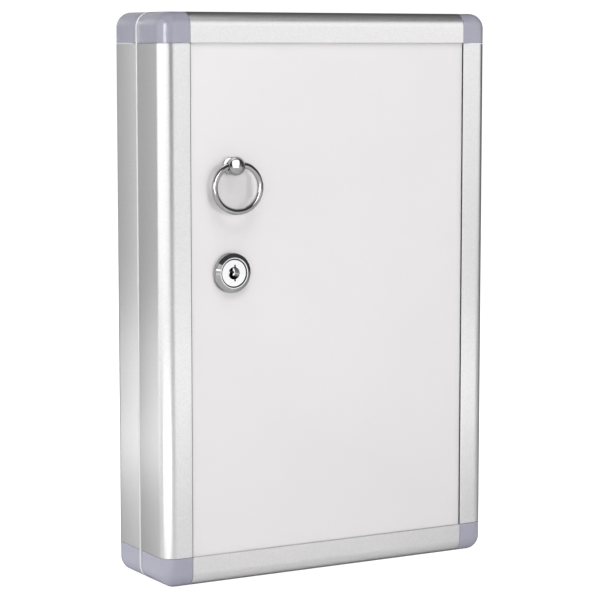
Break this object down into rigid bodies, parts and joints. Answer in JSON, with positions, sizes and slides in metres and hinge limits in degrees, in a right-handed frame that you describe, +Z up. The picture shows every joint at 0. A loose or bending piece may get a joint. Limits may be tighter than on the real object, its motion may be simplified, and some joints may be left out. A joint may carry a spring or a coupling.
{
  "type": "key cabinet",
  "caption": "Wall key cabinet: two aluminium frames with plastic corners, hinged sheet door with cam lock and ring pull, hook racks inside.",
  "frame": {"origin": "middle of the back panel's pressed face, which goes against the wall", "axes": "+X to the right seen from in front, +Z up, the door faces -Y and the wall is at +Y"},
  "size_m": [0.2021, 0.0699, 0.3],
  "materials": {
    "anodised_aluminium": "satin clear anodised, fine lines along the rail",
    "corner_plastic": "moulded, lavender grey, slight gloss",
    "door_coating": "smooth satin white coating",
    "back_coating": "satin light grey coating",
    "chrome": "polished chrome plate",
    "zinc_steel": "bright zinc plate",
    "label_plastic": "matt off-white",
    "rubber": "matt black"
  },
  "bodies": {
    "case": {"case_left_rail": "anodised_aluminium", "case_right_rail": "anodised_aluminium", "case_top_rail": "anodised_aluminium", "case_bottom_rail": "anodised_aluminium", "case_top_left_corner": "corner_plastic", "case_top_right_corner": "corner_plastic", "case_bottom_left_corner": "corner_plastic", "case_bottom_right_corner": "corner_plastic", "back_panel": "back_coating", "hook_rack_1": "zinc_steel", "hook_rack_2": "zinc_steel", "hook_rack_3": "zinc_steel", "hook_rack_4": "zinc_steel", "hook_rack_5": "zinc_steel", "index_strip_1": "label_plastic", "index_strip_2": "label_plastic", "index_strip_3": "label_plastic", "index_strip_4": "label_plastic", "index_strip_5": "label_plastic", "upper_hinge_case_leaf": "zinc_steel", "upper_hinge_pin": "zinc_steel", "upper_hinge_case_screw_a": "zinc_steel", "upper_hinge_case_screw_b": "zinc_steel", "lower_hinge_case_leaf": "zinc_steel", "lower_hinge_pin": "zinc_steel", "lower_hinge_case_screw_a": "zinc_steel", "lower_hinge_case_screw_b": "zinc_steel", "upper_bumper": "rubber", "lower_bumper": "rubber"},
    "door": {"door_left_rail": "anodised_aluminium", "door_right_rail": "anodised_aluminium", "door_top_rail": "anodised_aluminium", "door_bottom_rail": "anodised_aluminium", "door_top_left_corner": "corner_plastic", "door_top_right_corner": "corner_plastic", "door_bottom_left_corner": "corner_plastic", "door_bottom_right_corner": "corner_plastic", "door_panel": "door_coating", "upper_hinge_door_leaf": "zinc_steel", "upper_hinge_door_screw_a": "zinc_steel", "upper_hinge_door_screw_b": "zinc_steel", "lower_hinge_door_leaf": "zinc_steel", "lower_hinge_door_screw_a": "zinc_steel", "lower_hinge_door_screw_b": "zinc_steel", "lock_housing": "chrome", "lock_nut": "zinc_steel", "pull_knob": "chrome", "pull_screw": "zinc_steel"},
    "lock_core": {"lock_plug": "chrome", "lock_cam": "zinc_steel", "cam_screw": "zinc_steel"},
    "ring": {"pull_ring": "chrome"}
  },
  "joints": [
    {"name": "door_hinge", "type": "hinge", "parent": "case", "child": "door", "pos_m": [0.1, -0.03, 0], "axis": [0, 0, 1], "range_deg": [0, 165]},
    {"name": "lock_turn", "type": "hinge", "parent": "door", "child": "lock_core", "pos_m": [-0.0603, -0.0588, 0.0148], "axis": [0, 1, 0], "range_deg": [0, 90]},
    {"name": "ring_swing", "type": "hinge", "parent": "door", "child": "ring", "pos_m": [-0.0607, -0.0658, 0.0707], "axis": [-0.9853, 0.1561, -0.0698], "range_deg": [-8, 180]}
  ]
}
